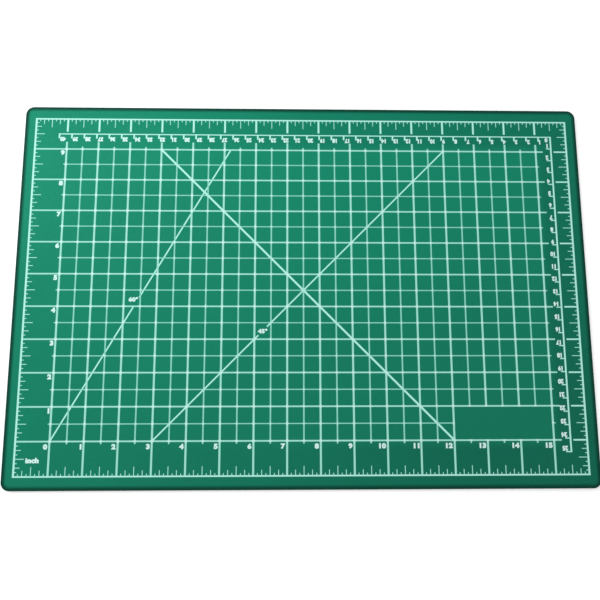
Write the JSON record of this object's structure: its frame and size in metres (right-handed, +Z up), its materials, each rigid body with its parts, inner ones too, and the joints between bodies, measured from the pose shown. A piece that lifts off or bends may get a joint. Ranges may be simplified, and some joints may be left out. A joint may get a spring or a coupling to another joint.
{
  "type": "flexible cutting mat",
  "caption": "Flat rectangular craft cutting mat: three bonded vinyl plies with round corners and a printed inch grid, border rulers, centimetre scales and angle lines.",
  "frame": {"origin": "middle of the underside, where the mat lies on the table", "axes": "+X along the mat towards the end with the centimetre scale, +Y across it towards the far edge (the top of the picture), +Z up out of the printed face"},
  "size_m": [0.45, 0.3, 0.003],
  "materials": {
    "green_vinyl": "fine satin grain",
    "core_vinyl": "cut edge, dull",
    "ink": "screen-printed, matt"
  },
  "bodies": {
    "root": {"bottom_sheet": "green_vinyl", "core_sheet": "core_vinyl", "top_sheet": "green_vinyl", "border_line": "ink", "inch_lines_upright": "ink", "inch_lines_level": "ink", "half_inch_lines_upright": "ink", "half_inch_lines_level": "ink", "diagonal_rising": "ink", "diagonal_falling": "ink", "steep_line": "ink", "ruler_ticks_near": "ink", "ruler_ticks_right": "ink", "ruler_ticks_far": "ink", "ruler_ticks_left": "ink", "inch_marks_far": "ink", "inch_marks_right": "ink", "metric_rule_far": "ink", "metric_rule_right": "ink"}
  },
  "joints": []
}
